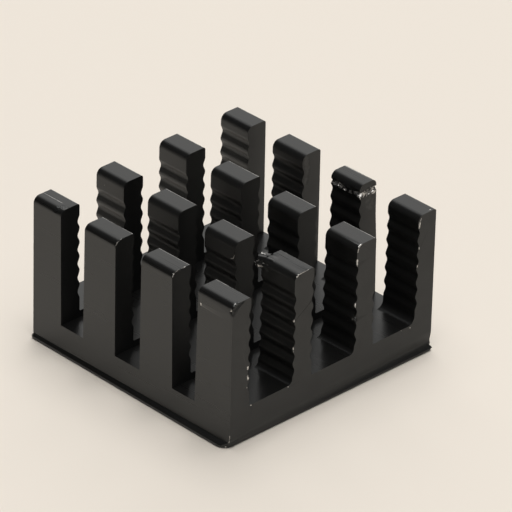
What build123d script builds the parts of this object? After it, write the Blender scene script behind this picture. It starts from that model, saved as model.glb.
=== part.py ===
"""Pin fin heat sink: an aluminium extrusion cut across into rows of pins.

Millimetres. X runs across the fins, Y runs along the extrusion and Z is up.
The origin is on the underside, in the middle of the base.
"""
import os
from math import atan, copysign, cos

from build123d import *

# Base
base_width = 24.7
base_length = 25.0
height = 14.4
channel_floor = 3.55
foot_radius_right = 0.12

# The ends of the base. The far end is sawn askew, so that the right side is
# the shorter one. The near end's foot curves in by this much and starts this
# far up, at its left corner and at its right corner.
far_end_skew = 0.25
near_foot_left = (0.1, 0.35)
near_foot_right = (0.25, 1.3)

# Fins, as extruded
fin_count = 4
fin_thickness = 2.1
tip_radius_left = 0.65
tip_radius_right = 0.25
root_radius_left = 0.15
root_radii_right = (0.5, 0.5, 0.75)
root_overlap = 0.5

# Ripples on the sides that face a channel: flanks that would meet this far
# apart, rounded off at crests and valleys. The crests lie level with the
# plain stretches at root and tip. Facing sides are in step with the first fin
# or half a pitch lower, so that the inner fins wave from side to side.
ripple_depth = 0.316
ripple_pitch = 1.42
ripple_radius = 0.5
ripple_start_in_step = 2.0
ripple_start_out_of_step = 1.3
plain_tip = 1.05

# Saw cuts across the fins: where the near and the far wall stand at the floor,
# on the left side of the base and on the right side, and how far each of the
# two leans out at the tips
cut_floor = 2.9
saw_cuts = (
    ((-8.1, -8.62), (-5.28, -5.5), 0.22),
    ((-1.18, -1.58), (1.97, 1.77), 0.06),
    ((6.03, 5.7), (8.89, 8.7), 0.1),
)

# Lip round the foot of the base, lying a little askew under it. From its edge
# it slopes in to meet the base, flush on the left and a hair inside elsewhere.
lip_height = 0.6
lip_edge_height = 0.3
lip_overhang = (0.55, 0.1)
lip_turn = -0.8
lip_offset = (-0.07, 0.0)
lip_inset = 0.03
lip_rim_radius = 0.2
lip_corner_radius = 0.35
lip_worn_corner_radius = 1.1
lip_top_corner_radius = 0.1

# Crushed groove round the left and front of one pin, under its tip
crushed_fin = 3
crushed_pin = 1
crush_depth = 0.2
crush_height = 0.45
crush_below_tip = 0.9

half_width = base_width / 2
half_length = base_length / 2
foot_right = half_width - foot_radius_right - lip_inset
fin_pitch = (base_width - fin_thickness) / (fin_count - 1)
root = channel_floor - root_overlap
past = 1.0
saw_overlap = 2.0
fuzz = 0.001

ripple_flank = atan(2 * ripple_depth / ripple_pitch)
ripple_crest = ripple_depth / 2 - ripple_radius * (1 / cos(ripple_flank) - 1)
ripple_lead_in = ripple_pitch / 4 * (1 + 2 * ripple_crest / ripple_depth)


def fin_left(index):
    """X of a fin's left side, halfway between ripple crests and valleys."""
    return -half_width + index * fin_pitch


def rippled_side(x, outward, start):
    """A side that swings in and out of the line x, plain at root and tip."""
    plain = x + outward * ripple_crest
    first_valley = channel_floor + start
    count = 1 + int((height - plain_tip - first_valley) / ripple_pitch)
    last_valley = first_valley + (count - 1) * ripple_pitch
    points = [(plain, root), (plain, first_valley - ripple_lead_in)]
    for half_wave in range(2 * count - 1):
        swing = -outward if half_wave % 2 == 0 else outward
        points.append((x + swing * ripple_depth / 2, first_valley + half_wave * ripple_pitch / 2))
    points += [(plain, last_valley + ripple_lead_in), (plain, height)]
    FilletPolyline(*points, radius=ripple_radius)
    return plain


def plain_side(x):
    """The flat outer side of the first or the last fin."""
    Line((x, root), (x, height))
    return x


def fin_outline(index):
    """One closed fin outline, from inside the base up to a square tip."""
    left = fin_left(index)
    right = left + fin_thickness
    if index == 0:
        left_face = plain_side(left)
    elif index == fin_count - 1:
        left_face = rippled_side(left, -1, ripple_start_in_step)
    else:
        left_face = rippled_side(left, -1, ripple_start_out_of_step)
    if index == fin_count - 1:
        right_face = plain_side(right)
    else:
        right_face = rippled_side(right, 1, ripple_start_in_step)
    Line((left_face, height), (right_face, height))
    Line((left_face, root), (right_face, root))


def half_cut(wall, lean):
    """The part of a saw cut beside one wall, whose lean is negative at the near wall."""
    slope = lean / (height - cut_floor)
    inside = wall - copysign(saw_overlap, lean)
    Polyline(
        (inside, cut_floor),
        (wall, cut_floor),
        (wall + slope * (height + past - cut_floor), height + past),
        (inside, height + past),
        close=True,
    )


def foot_curve(inset, rise):
    """What the near end loses at its foot: the outside of a curve that leaves it upright."""
    near = -half_length
    TangentArc((near, lip_height + rise), (near + inset, lip_height), tangent=(0, -1))
    Polyline(
        (near + inset, lip_height),
        (near + inset, lip_height - past),
        (near - past, lip_height - past),
        (near - past, lip_height + rise),
        (near, lip_height + rise),
    )


def groove_outline(face):
    """A V open to the low side of the line at face, at the crushed height."""
    middle = height - crush_below_tip
    Polyline(
        (face - crush_depth, middle - crush_height),
        (face + crush_depth, middle),
        (face - crush_depth, middle + crush_height),
        close=True,
    )


def corners_at(level):
    """The profile's corners at one height, left to right, without the outer faces' own."""
    near_level = vertices().filter_by_position(Axis.Y, level - fuzz, level + fuzz)
    if level < height:
        near_level = near_level.filter_by_position(Axis.X, fuzz - half_width, half_width - fuzz)
    return near_level.sort_by(Axis.X)


pin_front = saw_cuts[crushed_pin - 1][1][1] + saw_cuts[crushed_pin - 1][2]
pin_back = saw_cuts[crushed_pin][0][1] - saw_cuts[crushed_pin][2]
pin_left = fin_left(crushed_fin) - ripple_crest

with BuildPart() as lip:
    with BuildSketch(Plane.XY.offset(lip_edge_height)):
        with Locations(lip_offset):
            Rectangle(base_width + lip_overhang[0], base_length + lip_overhang[1], rotation=lip_turn)
        left_corners = vertices().sort_by(Axis.X)[:2]
        fillet(left_corners.sort_by(Axis.Y)[0], lip_worn_corner_radius)
        by_length = vertices().sort_by(Axis.Y)
        fillet([by_length[0], by_length[-2], by_length[-1]], lip_corner_radius)
    with BuildSketch(Plane.XY.offset(lip_height)):
        with BuildLine():
            Polyline(
                (-half_width, near_foot_left[0] - half_length + lip_inset),
                (foot_right, near_foot_right[0] - half_length + lip_inset),
                (foot_right, half_length - far_end_skew - lip_inset),
                (-half_width, half_length - lip_inset),
                close=True,
            )
        make_face()
        fillet(vertices(), lip_top_corner_radius)
    loft(ruled=True)
    extrude(faces().sort_by(Axis.Z)[0], amount=lip_edge_height)
    fillet(faces().sort_by(Axis.Z)[0].edges(), lip_rim_radius)

with BuildPart() as heat_sink:
    with BuildSketch(Plane.XZ):
        with Locations((0, (lip_height + channel_floor) / 2)):
            Rectangle(base_width, channel_floor - lip_height)
        for index in range(fin_count):
            with BuildLine():
                fin_outline(index)
            make_face()
        fillet(corners_at(height)[0::2], tip_radius_left)
        fillet(corners_at(height)[1::2], tip_radius_right)
        fillet(corners_at(channel_floor)[0::2], root_radius_left)
        for channel, radius in enumerate(root_radii_right):
            fillet(corners_at(channel_floor)[2 * channel + 1], radius)
    extrude(amount=half_length, both=True)

    with BuildSketch(Plane.XY):
        with BuildLine():
            Polyline(
                (-half_width, half_length),
                (half_width, half_length - far_end_skew),
                (half_width, half_length + past),
                (-half_width, half_length + past),
                close=True,
            )
        make_face()
    extrude(amount=height + past, mode=Mode.SUBTRACT)

    foot = faces().sort_by(Axis.Z)[0].edges()
    fillet(foot.sort_by(Axis.X)[-1], foot_radius_right)
    with BuildSketch(Plane.YZ.offset(-half_width)):
        with BuildLine():
            foot_curve(*near_foot_left)
        make_face()
    with BuildSketch(Plane.YZ.offset(half_width)):
        with BuildLine():
            foot_curve(*near_foot_right)
        make_face()
    loft(ruled=True, mode=Mode.SUBTRACT)

    for near_wall, far_wall, lean in saw_cuts:
        for (left, right), outward in ((near_wall, -lean), (far_wall, lean)):
            run = Vector(base_width, right - left).normalized()
            start = left - past * run.Y / run.X
            with BuildSketch(Plane.YZ.offset(-half_width - past)):
                with BuildLine():
                    half_cut(start, outward)
                make_face()
            extrude(amount=(base_width + 2 * past) / run.X, dir=run, mode=Mode.SUBTRACT)
    add(lip.part)

    with BuildSketch(Plane.XZ.offset(-(pin_front + pin_back) / 2)):
        with BuildLine():
            groove_outline(pin_left)
        make_face()
    extrude(amount=(pin_back - pin_front) / 2 + crush_depth, both=True, mode=Mode.SUBTRACT)
    with BuildSketch(Plane.YZ.offset(pin_left + fin_thickness / 2)):
        with BuildLine():
            groove_outline(pin_front)
        make_face()
    extrude(amount=fin_thickness / 2 + crush_depth, both=True, mode=Mode.SUBTRACT)

heat_sink.part.label = "heat_sink"

os.makedirs("parts", exist_ok=True)
export_step(heat_sink.part, "parts/heat_sink.step")
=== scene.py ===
"""Black pin fin heat sink on a pale floor, seen from above its near left corner."""
import math

import bmesh
import bpy
from mathutils import Matrix, Vector, noise
from mathutils.bvhtree import BVHTree
from mathutils.kdtree import KDTree
from mathutils.geometry import intersect_point_line


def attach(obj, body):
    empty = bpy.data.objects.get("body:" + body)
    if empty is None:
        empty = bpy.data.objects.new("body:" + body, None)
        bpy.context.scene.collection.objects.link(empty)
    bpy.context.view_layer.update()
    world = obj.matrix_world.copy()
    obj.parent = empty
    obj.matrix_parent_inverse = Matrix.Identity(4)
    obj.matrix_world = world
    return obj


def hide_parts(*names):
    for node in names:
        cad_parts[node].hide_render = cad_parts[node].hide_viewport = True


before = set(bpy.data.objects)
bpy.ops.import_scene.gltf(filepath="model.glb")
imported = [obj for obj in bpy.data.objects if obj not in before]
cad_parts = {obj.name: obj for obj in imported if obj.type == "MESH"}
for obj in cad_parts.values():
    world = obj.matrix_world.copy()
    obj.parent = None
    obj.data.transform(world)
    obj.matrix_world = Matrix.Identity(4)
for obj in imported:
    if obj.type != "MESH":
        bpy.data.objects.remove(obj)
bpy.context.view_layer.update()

# The camera, the shapes and the marks are in millimetres, lamps and materials in metres
MM = 0.001

# The photograph's camera: a long lens from above the near left corner
CAMERA_AZIMUTH = -44.96
CAMERA_ELEVATION = 30.39
CAMERA_ROLL = 1.46
CAMERA_DISTANCE = 494.0
CAMERA_TARGET = (-2.005, -4.772, 11.864)
CAMERA_LENS = 400.6

# The heat sink's outer sides, its near end, the foot of its pins and their tips
OUTER_SIDE = 12.35
NEAR_END = -12.5
PIN_FOOT = 3.6
TIP = 14.4

# Every edge sharper than the first angle is broken, and every crease sharper
# than the second stays sharp in the shading
EDGE_BREAK = 0.035
BROKEN_ABOVE = 32
SHARP_ABOVE = 19

# The near end's foot, at its left corner and at its right corner: the height
# where it starts to pull in, by how much, and where it starts to run out
FOOT_TOP = (1.0, 2.1)
FOOT_INSET = (0.05, 0.16)
FLARE_TOP = (0.65, 1.0)

# The lip's top edge along the near end: its height, and its line
LIP_EDGE_HEIGHT = 0.3
LIP_EDGE_Y = -12.549
LIP_EDGE_SLOPE = -0.01396
LIP_MIDDLE_X = -0.07

# Where the ripples of the third fin's nearest pin are rubbed flat
SMEAR_CREST = 4.925
SMEAR_FAR_Y = -11.8
SMEAR_BOTTOM = 8.9
SMEAR_TOP = 14.0

# The crushed pin at the right: its right side, its tip's rounding, and the
# middle of the torn groove
CRUSHED_RIGHT = 12.22
CRUSHED_ROUNDING = 0.55
GROOVE_HEIGHT = 13.45

# Boxes whose surfaces are reshaped: low corner, high corner, size of the grid
DEFORMED = (
    ((-11.8, -12.9, 0.31), (12.36, -12.1, 2.1), (1.2, 9.0, 0.11)),
    ((4.6, -12.6, SMEAR_BOTTOM), (5.1, SMEAR_FAR_Y, SMEAR_TOP), (0.25, 0.14, 0.16)),
    ((10.0, -5.4, 12.7), (12.4, -1.3, 14.41), (0.11, 0.11, 0.09)),
    ((-5.1, -9.6, 13.1), (-3.4, -8.7, 14.41), (0.09, 0.09, 0.09)),
    ((-5.1, -9.1, 11.6), (-4.4, -8.7, 13.1), (0.12, 0.12, 0.15)),
)

# Nicks, flecks and scratches that show bare metal: from, to, radius, depth, how bare
BARE_MARKS = (
    ((-12.34, -12.26, 13.60), (-12.22, -12.30, 14.00), 0.06, 0.02, 0.95),
    ((-12.22, -12.30, 14.00), (-11.84, -12.34, 14.38), 0.05, 0.02, 0.85),
    ((-12.35, -8.62, 12.92), (-12.35, -8.62, 12.72), 0.08, 0.04, 0.85),
    ((-12.10, -8.62, 14.18), (-11.90, -8.62, 14.32), 0.05, 0.02, 0.7),
    ((-12.35, -12.50, 1.35), (-12.36, -12.45, 0.75), 0.05, 0.03, 0.8),
    ((-12.36, -12.45, 0.75), (-12.36, -12.34, 0.40), 0.08, 0.04, 1.0),
    ((-12.44, -12.12, 0.16), (-12.40, -12.16, 0.14), 0.07, 0.02, 0.8),
    ((-10.36, -12.50, 7.50), (-10.36, -12.50, 7.30), 0.10, 0.05, 1.0),
    ((-10.30, -12.50, 6.60), (-10.30, -12.50, 6.25), 0.12, 0.07, 1.0),
    ((-10.38, -12.50, 5.50), (-10.38, -12.50, 5.42), 0.06, 0.03, 0.7),
    ((-9.90, -12.50, 3.50), (-9.84, -12.50, 3.48), 0.06, 0.03, 0.8),
    ((-5.40, -12.50, 3.50), (-5.35, -12.50, 3.44), 0.06, 0.03, 0.8),
    ((-12.30, -5.07, 13.95), (-12.14, -5.07, 14.20), 0.08, 0.04, 1.0),
    ((-12.14, -5.07, 14.20), (-11.70, -5.07, 14.39), 0.05, 0.03, 0.9),
    ((-11.70, -5.07, 14.40), (-10.95, -5.07, 14.40), 0.03, 0.01, 0.6),
    ((-10.90, -5.05, 14.40), (-10.84, -5.05, 14.40), 0.08, 0.03, 1.0),
    ((-12.28, 2.04, 14.00), (-12.10, 2.04, 14.22), 0.06, 0.03, 0.9),
    ((-12.10, 2.04, 14.22), (-11.65, 2.03, 14.39), 0.06, 0.03, 0.9),
    ((-3.90, -8.95, 14.40), (-3.80, -8.92, 14.40), 0.09, 0.03, 1.0),
    ((-4.88, -9.02, 13.98), (-4.88, -8.94, 13.96), 0.07, 0.03, 1.0),
    ((-4.66, -12.49, 14.20), (-4.45, -12.49, 14.33), 0.10, 0.04, 1.0),
    ((-4.45, -12.50, 14.34), (-3.30, -12.50, 14.40), 0.04, 0.02, 0.75),
    ((-4.92, -12.50, 10.00), (-4.92, -12.50, 9.80), 0.10, 0.06, 0.9),
    ((-4.92, -12.50, 7.22), (-4.90, -12.50, 7.02), 0.12, 0.06, 1.0),
    ((-4.94, -12.50, 6.80), (-4.94, -12.50, 6.72), 0.08, 0.04, 0.9),
    ((-4.93, -4.62, 12.72), (-4.93, -4.92, 12.82), 0.05, 0.02, 0.8),
    ((-4.93, -4.92, 12.82), (-4.93, -5.05, 13.20), 0.05, 0.02, 0.7),
    ((3.08, -12.46, 14.33), (2.90, -12.47, 14.22), 0.13, 0.06, 1.0),
    ((2.78, -12.50, 14.05), (2.70, -12.50, 13.75), 0.06, 0.03, 0.8),
    ((2.66, -12.48, 12.95), (2.66, -12.48, 12.30), 0.11, 0.06, 1.0),
    ((2.58, -12.47, 8.60), (2.60, -12.46, 8.10), 0.15, 0.08, 0.95),
    ((4.80, -11.36, 14.36), (4.84, -11.26, 14.34), 0.10, 0.0, 0.9),
    ((11.76, -12.24, 14.40), (11.84, -12.28, 14.40), 0.07, 0.02, 0.8),
    ((10.52, -12.50, 14.08), (10.40, -12.50, 13.85), 0.05, 0.03, 0.8),
    ((10.36, -12.48, 13.70), (10.32, -12.48, 13.20), 0.10, 0.05, 1.0),
    ((10.38, -12.50, 11.20), (10.38, -12.50, 11.05), 0.08, 0.04, 0.9),
    ((10.25, -12.50, 9.40), (10.25, -12.50, 9.30), 0.07, 0.04, 0.9),
    ((8.47, -12.50, 3.52), (8.52, -12.50, 3.48), 0.05, 0.02, 0.8),
    ((9.60, -12.50, 3.34), (9.66, -12.50, 3.32), 0.05, 0.02, 0.8),
)

# Dents, creases and scratches that keep their black, in the same terms
DARK_MARKS = (
    ((-12.30, -12.48, 13.62), (-11.75, -12.50, 14.22), 0.34, 0.10, 0.0),
    ((-12.10, -12.50, 13.72), (-11.10, -12.50, 14.30), 0.10, 0.07, 0.0),
    ((-12.15, 9.75, 14.18), (-11.65, 9.35, 14.38), 0.30, 0.05, 0.0),
    ((-11.65, 9.35, 14.38), (-11.40, 9.12, 14.40), 0.16, 0.03, 0.0),
    ((-4.68, -12.50, 9.97), (-2.91, -12.50, 11.11), 0.06, 0.025, 0.0),
    ((2.62, -12.44, 7.30), (2.66, -12.44, 6.90), 0.26, 0.14, 0.0),
)

# Patches rubbed to a rougher grey
SCUFFS = (
    ((10.62, 1.84, 14.00), (10.75, 1.84, 12.95), 0.34, 0.015, 1.0),
    ((10.75, 1.84, 12.60), (10.60, 1.84, 11.60), 0.26, 0.015, 0.8),
    ((11.20, -5.20, 12.90), (11.60, -5.20, 11.80), 0.75, 0.012, 0.7),
)


def turned(azimuth, elevation):
    """The direction of a place seen from the origin; azimuth 0 is towards the near end."""
    azimuth, elevation = math.radians(azimuth), math.radians(elevation)
    return Vector((
        math.sin(azimuth) * math.cos(elevation),
        -math.cos(azimuth) * math.cos(elevation),
        math.sin(elevation),
    ))


def add_camera():
    back = turned(CAMERA_AZIMUTH, CAMERA_ELEVATION)
    right = turned(CAMERA_AZIMUTH + 90, 0)
    up = back.cross(right)
    roll = math.radians(CAMERA_ROLL)
    turned_right = math.cos(roll) * right + math.sin(roll) * up
    turned_up = math.cos(roll) * up - math.sin(roll) * right
    place = Matrix((turned_right, turned_up, back)).transposed().to_4x4()
    place.translation = (Vector(CAMERA_TARGET) + CAMERA_DISTANCE * back) * MM
    camera = bpy.data.objects.new("camera", bpy.data.cameras.new("camera"))
    bpy.context.scene.collection.objects.link(camera)
    camera.matrix_world = place
    camera.data.lens = CAMERA_LENS
    camera.data.sensor_width = 36.0
    camera.data.clip_start = 0.01
    camera.data.clip_end = 20.0
    bpy.context.scene.camera = camera


def add_floor():
    bpy.ops.mesh.primitive_plane_add(size=4.0, location=(0, 0, 0))
    floor = bpy.context.object
    floor.name = "floor"
    material = bpy.data.materials.new("pale_floor")
    material.use_nodes = True
    shader = material.node_tree.nodes["Principled BSDF"]
    shader.inputs["Base Color"].default_value = (0.83, 0.78, 0.715, 1)
    shader.inputs["Roughness"].default_value = 0.7
    shader.inputs["Specular IOR Level"].default_value = 0.2
    floor.data.materials.append(material)


def add_softbox(name, azimuth, elevation, distance, size, power):
    lamp = bpy.data.objects.new(name, bpy.data.lights.new(name, "AREA"))
    lamp.data.shape = "DISK"
    lamp.data.size = size
    lamp.data.color = (1.0, 0.975, 0.94)
    lamp.data.energy = power
    towards = turned(azimuth, elevation)
    lamp.location = towards * distance
    lamp.rotation_euler = towards.to_track_quat("Z", "Y").to_euler()
    bpy.context.scene.collection.objects.link(lamp)


def add_world():
    world = bpy.data.worlds.new("studio")
    world.use_nodes = True
    background = world.node_tree.nodes["Background"]
    background.inputs["Color"].default_value = (1.0, 0.975, 0.94, 1)
    background.inputs["Strength"].default_value = 0.045
    bpy.context.scene.world = world


def box_round(start, end, reach):
    """The corners of the box that reaches this far past a line's ends."""
    low = Vector([min(a, b) - reach for a, b in zip(start, end)])
    high = Vector([max(a, b) + reach for a, b in zip(start, end)])
    return low, high


def faces_in(faces, low, high):
    """The faces whose own boxes overlap this one."""
    found = []
    for face in faces:
        corners = [vert.co for vert in face.verts]
        for axis in range(3):
            places = [corner[axis] for corner in corners]
            if min(places) > high[axis] - 0.001 or max(places) < low[axis] + 0.001:
                break
        else:
            found.append(face)
    return found


def refine(bm, low, high, steps):
    """Cuts the faces in a box into a grid of about this size."""
    low, high = Vector(low), Vector(high)
    bm.faces.ensure_lookup_table()
    near = BVHTree.FromBMesh(bm).find_nearest_range((low + high) / 2, (high - low).length / 2)
    faces = faces_in([bm.faces[index] for index in sorted({hit[2] for hit in near})], low, high)
    for axis in range(3):
        count = max(1, math.ceil((high[axis] - low[axis]) / steps[axis]))
        normal = Vector([1.0 if axis == other else 0.0 for other in range(3)])
        for cut in range(count + 1):
            edges = dict.fromkeys(edge for face in faces for edge in face.edges)
            verts = dict.fromkeys(vert for face in faces for vert in face.verts)
            made = bmesh.ops.bisect_plane(
                bm,
                geom=[*verts, *edges, *faces],
                dist=0.0005,
                plane_co=normal * (low[axis] + (high[axis] - low[axis]) * cut / count),
                plane_no=normal,
            )
            made_faces = [item for item in made["geom"] if isinstance(item, bmesh.types.BMFace)]
            faces = faces_in(made_faces, low, high)


def smooth_step(value):
    """Rises smoothly from 0 to 1 as the value does."""
    value = min(1.0, max(0.0, value))
    return value * value * (3 - 2 * value)


def blend(pair, share):
    """The value this share of the way from the first of a pair to the second."""
    return pair[0] + (pair[1] - pair[0]) * share


def ragged(place, scale, offset=0.0):
    """Uneven noise about zero, the same for the same place each time."""
    return noise.noise(place * scale + Vector((offset, offset, offset)))


def press_marks(bm, layer, marks):
    """Presses short ragged grooves into the surface, and notes them in a layer."""
    bm.verts.ensure_lookup_table()
    tree = KDTree(len(bm.verts))
    for vert in bm.verts:
        tree.insert(vert.co, vert.index)
    tree.balance()
    for start, end, radius, depth, strength in marks:
        start, end = Vector(start), Vector(end)
        reach = (end - start).length / 2 + 1.4 * radius
        for _, index, _ in tree.find_range((start + end) / 2, reach):
            vert = bm.verts[index]
            share = min(1.0, max(0.0, intersect_point_line(vert.co, start, end)[1]))
            away = (vert.co - start.lerp(end, share)).length / radius
            ragged_away = away / (1 + 0.5 * ragged(vert.co, 1.2 / radius))
            amount = smooth_step(1.5 - 1.25 * ragged_away) * smooth_step(6.0 - 5.0 * away)
            if amount > 0.0:
                vert[layer] = max(vert[layer], amount * strength)
                uneven = 0.8 + 0.8 * ragged(vert.co, 2.5 / radius, 7.0)
                vert.co -= vert.normal * depth * amount * uneven


def round_near_foot(bm):
    """Draws the near end's foot into one curve that pulls in, then runs out to the lip."""
    for vert in bm.verts:
        x, y, z = vert.co
        share = (x + OUTER_SIDE) / (2 * OUTER_SIDE)
        foot_top = blend(FOOT_TOP, share)
        on_foot = -11.81 < x < 12.36 and -12.9 < y < -12.1 and LIP_EDGE_HEIGHT - 0.001 < z < foot_top
        if vert.normal.y > -0.2 or not on_foot:
            continue
        inset = blend(FOOT_INSET, share)
        flare_top = blend(FLARE_TOP, share)
        lip_edge = LIP_EDGE_Y + LIP_EDGE_SLOPE * (x - LIP_MIDDLE_X)
        flare = NEAR_END + inset - lip_edge
        pulled = NEAR_END + inset * smooth_step((foot_top - z) / (foot_top - 0.7))
        pulled -= flare * max(0.0, (flare_top - z) / (flare_top - LIP_EDGE_HEIGHT)) ** 2
        vert.co.y += (pulled - y) * smooth_step((x + 11.8) / 1.2)


def smear_ripples(bm):
    """Rubs the ripples flat at the near right edge of the third fin's nearest pin."""
    for vert in bm.verts:
        x, y, z = vert.co
        if 4.5 < x < SMEAR_CREST and y < SMEAR_FAR_Y and SMEAR_BOTTOM < z < SMEAR_TOP:
            if any(face.normal.x > 0.5 for face in vert.link_faces):
                near_edge = smooth_step((SMEAR_FAR_Y - 0.1 - y) / 0.4)
                vert.co.x += (SMEAR_CREST - x) * near_edge * smooth_step((z - SMEAR_BOTTOM) / 0.5)


def crush_pin(bm, layer):
    """Narrows one back pin, rounds its tip and tears the groove under it."""
    rounding_starts = CRUSHED_RIGHT - CRUSHED_ROUNDING
    for vert in bm.verts:
        x, y, z = vert.co
        if x < 10.0 or not -5.4 < y < -1.2 or z < PIN_FOOT:
            continue
        normal = vert.normal.copy()
        squeezed = smooth_step((z - PIN_FOOT) / 3.0)
        vert.co.x = x = x - 0.06 * squeezed * (x - 10.2)
        vert.co.y = y = y - 0.035 * squeezed * (y + 5.2)
        if x > rounding_starts:
            drop = math.sqrt(max(0.0, CRUSHED_ROUNDING ** 2 - (x - rounding_starts) ** 2))
            vert.co.z = z = min(z, TIP - CRUSHED_ROUNDING + drop)
        if z < 12.6 or (normal.x > -0.25 and normal.y > -0.25):
            continue
        torn = smooth_step(1.3 - abs(z - GROOVE_HEIGHT) / 0.42) * smooth_step((12.2 - x) / 0.3)
        bite = 0.16 * ragged(vert.co, 1.9) + 0.11 * ragged(vert.co, 5.0, 3.0)
        middle = GROOVE_HEIGHT - 0.03 + 0.16 * ragged(Vector((x, y, 0)), 1.5, 5.0)
        thick = 0.27 + 0.26 * ragged(Vector((x, y, 0)), 2.0, 2.0)
        bare = smooth_step(1.5 - abs(z - middle) / thick) * (0.72 + 0.9 * ragged(vert.co, 3.6))
        vert[layer] = max(vert[layer], bare * smooth_step((12.25 - x) / 0.2))
        vert.co += normal * bite * torn + Vector((0, 0, 0.18 * torn * ragged(vert.co, 1.4, 9.0)))


def chew_corner(bm, layer):
    """Drags the far left corner of the second fin's nearest pin out into a torn flap."""
    for vert in bm.verts:
        x, y, z = vert.co
        if not -5.1 < x < -3.3 or not -9.7 < y < -8.6 or z < 11.6:
            continue
        normal = vert.normal.copy()
        across = smooth_step((-3.5 - x) / 0.7)
        flap = smooth_step((y + 9.45) / 0.65) * smooth_step((z - 13.3) / 0.55) * across
        burr = smooth_step((y + 9.1) / 0.3) * smooth_step((z - 11.8) / 0.8)
        burr *= smooth_step((-4.5 - x) / 0.35)
        drawn = 1.45 * flap * (0.75 + 0.8 * ragged(Vector((x, 0, z)), 2.6)) + 0.3 * burr * (1 - flap)
        droop = flap * (0.20 + 0.3 * ragged(Vector((x, 0, z)), 3.5, 4.0))
        rough = 0.09 * smooth_step((y + 9.6) / 0.4) * smooth_step((z - 13.2) / 0.4)
        rough *= across * ragged(vert.co, 4.0, 1.0)
        vert.co += Vector((-0.14 * flap, drawn, -droop)) + normal * rough
        if flap > 0.4:
            vert[layer] = max(vert[layer], smooth_step(5.0 * ragged(Vector((x, y, z)), 4.5, 6.0) - 0.6))


def build_body():
    """A copy of the CAD solid, with broken edges, a smooth near foot and the damage."""
    node = bpy.data.objects["heat_sink"]
    piece = bpy.data.objects.new("anodised_body", node.data.copy())
    bpy.context.scene.collection.objects.link(piece)
    bm = bmesh.new()
    bm.from_mesh(piece.data)
    bmesh.ops.scale(bm, vec=(1 / MM, 1 / MM, 1 / MM), verts=bm.verts)
    bmesh.ops.remove_doubles(bm, verts=bm.verts, dist=0.001)
    bmesh.ops.dissolve_limit(
        bm, angle_limit=math.radians(0.4), verts=bm.verts, edges=bm.edges, use_dissolve_boundaries=False
    )
    bmesh.ops.bevel(
        bm,
        geom=[edge for edge in bm.edges if edge.calc_face_angle() > math.radians(BROKEN_ABOVE)],
        offset=EDGE_BREAK,
        offset_type="OFFSET",
        segments=1,
        profile=0.5,
        affect="EDGES",
        clamp_overlap=True,
        material=-1,
    )
    bmesh.ops.triangulate(bm, faces=[face for face in bm.faces if len(face.verts) > 4])
    bare = bm.verts.layers.float.new("bare_metal")
    scuffed = bm.verts.layers.float.new("scuffed")
    for low, high, steps in DEFORMED:
        refine(bm, low, high, steps)
    for start, end, radius, _, _ in BARE_MARKS + DARK_MARKS + SCUFFS:
        step = max(0.045, radius / 2.2)
        refine(bm, *box_round(start, end, 1.3 * radius), (step, step, step))
    bm.normal_update()
    round_near_foot(bm)
    smear_ripples(bm)
    crush_pin(bm, bare)
    chew_corner(bm, bare)
    press_marks(bm, scuffed, DARK_MARKS + SCUFFS)
    press_marks(bm, bare, BARE_MARKS)
    for vert in bm.verts:
        vert.co.z = min(vert.co.z, TIP)
    bmesh.ops.triangulate(bm, faces=[face for face in bm.faces if len(face.verts) > 4])
    bmesh.ops.scale(bm, vec=(MM, MM, MM), verts=bm.verts)
    bm.to_mesh(piece.data)
    bm.free()
    piece.data.shade_smooth()
    piece.data.set_sharp_from_angle(angle=math.radians(SHARP_ABOVE))
    even = piece.modifiers.new("even_shading", "WEIGHTED_NORMAL")
    even.mode = "FACE_AREA_WITH_ANGLE"
    even.keep_sharp = True
    return piece


def add_node(tree, kind, settings=(), **inputs):
    """A node with its settings, and with values or links on its inputs.

    An input is given by its name, or by an underscore and its number.
    """
    node = tree.nodes.new(kind)
    for name, value in settings:
        setattr(node, name, value)
    for name, value in inputs.items():
        numbered = name.startswith("_")
        socket = node.inputs[int(name[1:]) if numbered else name.replace("_", " ")]
        if isinstance(value, bpy.types.NodeSocket):
            tree.links.new(value, socket)
        else:
            socket.default_value = value
    return node


def math_node(tree, operation, first, second=0.0):
    settings = [("operation", operation)]
    return add_node(tree, "ShaderNodeMath", settings, _0=first, _1=second).outputs[0]


def mix_value(tree, factor, first, second):
    settings = [("data_type", "FLOAT")]
    return add_node(tree, "ShaderNodeMix", settings, _0=factor, _2=first, _3=second).outputs[0]


def mix_colour(tree, factor, first, second):
    settings = [("data_type", "RGBA")]
    return add_node(tree, "ShaderNodeMix", settings, _0=factor, _6=first, _7=second).outputs[2]


def ramp(tree, value, low, high):
    """Rises smoothly from 0 to 1 as the value goes from low to high."""
    settings = [("interpolation_type", "SMOOTHSTEP")]
    node = add_node(tree, "ShaderNodeMapRange", settings, Value=value, From_Min=low, From_Max=high)
    return node.outputs[0]


def noise_value(tree, vector, scale, detail=2.0):
    return add_node(tree, "ShaderNodeTexNoise", Vector=vector, Scale=scale, Detail=detail).outputs[0]


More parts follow.
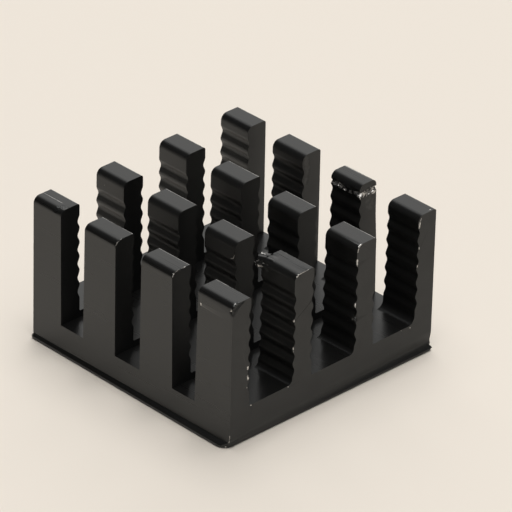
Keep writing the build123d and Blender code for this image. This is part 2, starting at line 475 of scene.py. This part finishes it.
def anodised_black():
    """Black dye on aluminium: drawn sides, duller sawn ends, dust, rubbed patches, bare nicks, and a
    painted highlight of bare metal along the tips' right edges.
    """
    material = bpy.data.materials.new("black_anodised_aluminium")
    material.use_nodes = True
    tree = material.node_tree
    shader = tree.nodes["Principled BSDF"]
    texture = add_node(tree, "ShaderNodeTexCoord")
    place = texture.outputs["Object"]
    spot = add_node(tree, "ShaderNodeSeparateXYZ", _0=place)
    facing = add_node(tree, "ShaderNodeSeparateXYZ", _0=texture.outputs["Normal"])

    # Which surface it is: a sawn end, the floor of a saw cut, or a channel's side
    ends = ramp(tree, math_node(tree, "ABSOLUTE", facing.outputs["Y"]), 0.55, 0.85)
    below_channels = math_node(tree, "LESS_THAN", spot.outputs["Z"], 0.0032)
    upward = ramp(tree, facing.outputs["Z"], 0.6, 0.9)
    sawn = math_node(tree, "MAXIMUM", ends, math_node(tree, "MULTIPLY", below_channels, upward))
    from_middle = math_node(tree, "ABSOLUTE", spot.outputs["X"])
    inside = math_node(tree, "LESS_THAN", from_middle, 0.0122)
    sideways = ramp(tree, math_node(tree, "ABSOLUTE", facing.outputs["X"]), 0.6, 0.9)
    channel_side = math_node(tree, "MULTIPLY", inside, sideways)

    # Fine lines along the extrusion, and arcs round the saw blade's middle
    drawn_place = add_node(tree, "ShaderNodeMapping", Vector=place, Scale=(5200, 70, 5200)).outputs[0]
    drawn_lines = noise_value(tree, drawn_place, 1.0, 3.0)
    flat_place = add_node(tree, "ShaderNodeMapping", Vector=place, Scale=(1, 0, 1)).outputs[0]
    blade_middle = (-0.030, 0, 0.046)
    distance = [("operation", "DISTANCE")]
    from_blade = add_node(tree, "ShaderNodeVectorMath", distance, _0=flat_place, _1=blade_middle)
    along = math_node(tree, "MULTIPLY", from_blade.outputs["Value"], 5200.0)
    one_way = [("noise_dimensions", "1D")]
    saw_lines = add_node(tree, "ShaderNodeTexNoise", one_way, W=along, Scale=1.0, Detail=3.0).outputs[0]
    blotches = noise_value(tree, place, 650.0, 3.0)
    grain = noise_value(tree, place, 5500.0, 2.0)

    # Bare metal in the nicks, and bare metal as a painted highlight along the tips' right-facing
    # roundings
    bare_name = [("attribute_name", "bare_metal")]
    bare_spread = add_node(tree, "ShaderNodeAttribute", bare_name).outputs["Fac"]
    torn_edge = math_node(tree, "MULTIPLY", math_node(tree, "SUBTRACT", grain, 0.5), 1.1)
    nicks = ramp(tree, math_node(tree, "ADD", bare_spread, torn_edge), 0.38, 0.62)
    # Painted highlight: the tips' roundings that face right and up get bright bare metal, standing in
    # for the edge line that light gives there
    turned_right = ramp(tree, facing.outputs["X"], 0.12, 0.3)
    turned_up = ramp(tree, facing.outputs["Z"], 0.25, 0.5)
    rounded_over = math_node(tree, "MULTIPLY", turned_right, turned_up)
    at_tip = math_node(tree, "GREATER_THAN", spot.outputs["Z"], 0.0140)
    tip_highlight_edges = math_node(tree, "MULTIPLY", rounded_over, at_tip)
    highlight_ragged_edge = math_node(tree, "MULTIPLY", torn_edge, 0.25)
    highlight_breakup = math_node(tree, "ADD", noise_value(tree, place, 170.0, 1.0), highlight_ragged_edge)
    painted_highlight_edges = math_node(tree, "MULTIPLY", tip_highlight_edges, ramp(tree, highlight_breakup, 0.40, 0.52))
    # This mask holds the real nicks and also the painted highlight along the tips' right edges
    bare = math_node(tree, "MAXIMUM", nicks, painted_highlight_edges)

    scuff_name = [("attribute_name", "scuffed")]
    scuff_spread = add_node(tree, "ShaderNodeAttribute", scuff_name).outputs["Fac"]
    scuff_noise = math_node(tree, "SUBTRACT", noise_value(tree, place, 2600.0, 4.0), 0.5)
    scuff_noise = math_node(tree, "MULTIPLY", scuff_noise, 1.6)
    scuff = ramp(tree, math_node(tree, "ADD", scuff_spread, scuff_noise), 0.3, 1.1)

    # Specks of dust, where the surface meets the middle of one cell in four
    cells = add_node(tree, "ShaderNodeTexVoronoi", Vector=place, Scale=620.0)
    chosen = add_node(tree, "ShaderNodeSeparateColor", Color=cells.outputs["Color"]).outputs[0]
    speck = math_node(tree, "SUBTRACT", 1.0, ramp(tree, cells.outputs["Distance"], 0.018, 0.04))
    dust = math_node(tree, "MULTIPLY", speck, ramp(tree, chosen, 0.72, 0.76))

    dye = mix_colour(tree, blotches, (0.0036, 0.0036, 0.0036, 1), (0.0058, 0.0058, 0.0057, 1))
    rubbed = mix_colour(tree, scuff, dye, (0.045, 0.044, 0.042, 1))
    dusty = mix_colour(tree, dust, rubbed, (0.20, 0.19, 0.18, 1))
    metal = mix_colour(tree, grain, (0.30, 0.29, 0.28, 1), (0.86, 0.85, 0.83, 1))
    # Bright metal comes from the real nicks and from the painted highlight on the tips' right edges
    tree.links.new(mix_colour(tree, bare, dusty, metal), shader.inputs["Base Color"])
    tree.links.new(bare, shader.inputs["Metallic"])

    drawn_finish = mix_value(tree, drawn_lines, 0.24, 0.34)
    drawn_finish = mix_value(tree, channel_side, drawn_finish, 0.42)
    sawn_finish = mix_value(tree, blotches, 0.46, 0.58)
    finish = mix_value(tree, ends, drawn_finish, sawn_finish)
    finish = mix_value(tree, scuff, finish, 0.55)
    tree.links.new(mix_value(tree, bare, finish, 0.38), shader.inputs["Roughness"])

    lines = mix_value(tree, sawn, drawn_lines, saw_lines)
    height = math_node(tree, "ADD", lines, math_node(tree, "MULTIPLY", grain, 0.35))
    height = math_node(tree, "ADD", height, math_node(tree, "MULTIPLY", blotches, 2.0))
    scuff_relief = math_node(tree, "MULTIPLY", scuff, math_node(tree, "MULTIPLY", scuff_noise, 4.0))
    height = math_node(tree, "ADD", height, scuff_relief)
    bump = add_node(tree, "ShaderNodeBump", Strength=1.0, Distance=0.0000008, Height=height)
    tree.links.new(bump.outputs[0], shader.inputs["Normal"])
    shader.inputs["Specular Tint"].default_value = (0.94, 0.98, 1.0, 1)
    shader.inputs["Specular IOR Level"].default_value = 0.55
    return material


add_camera()
add_floor()
add_world()
# The softboxes: azimuth, elevation, distance, width and power
add_softbox("overhead_box", 120, 84, 1.2, 1.05, 10.6)
add_softbox("front_box", -30, 66, 1.2, 1.0, 4.4)
add_softbox("back_box", 135, 33, 1.5, 1.6, 6.4)

body = build_body()
body.data.materials.clear()
body.data.materials.append(anodised_black())
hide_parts("heat_sink")
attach(body, "root")

bpy.context.scene.view_settings.view_transform = "Standard"
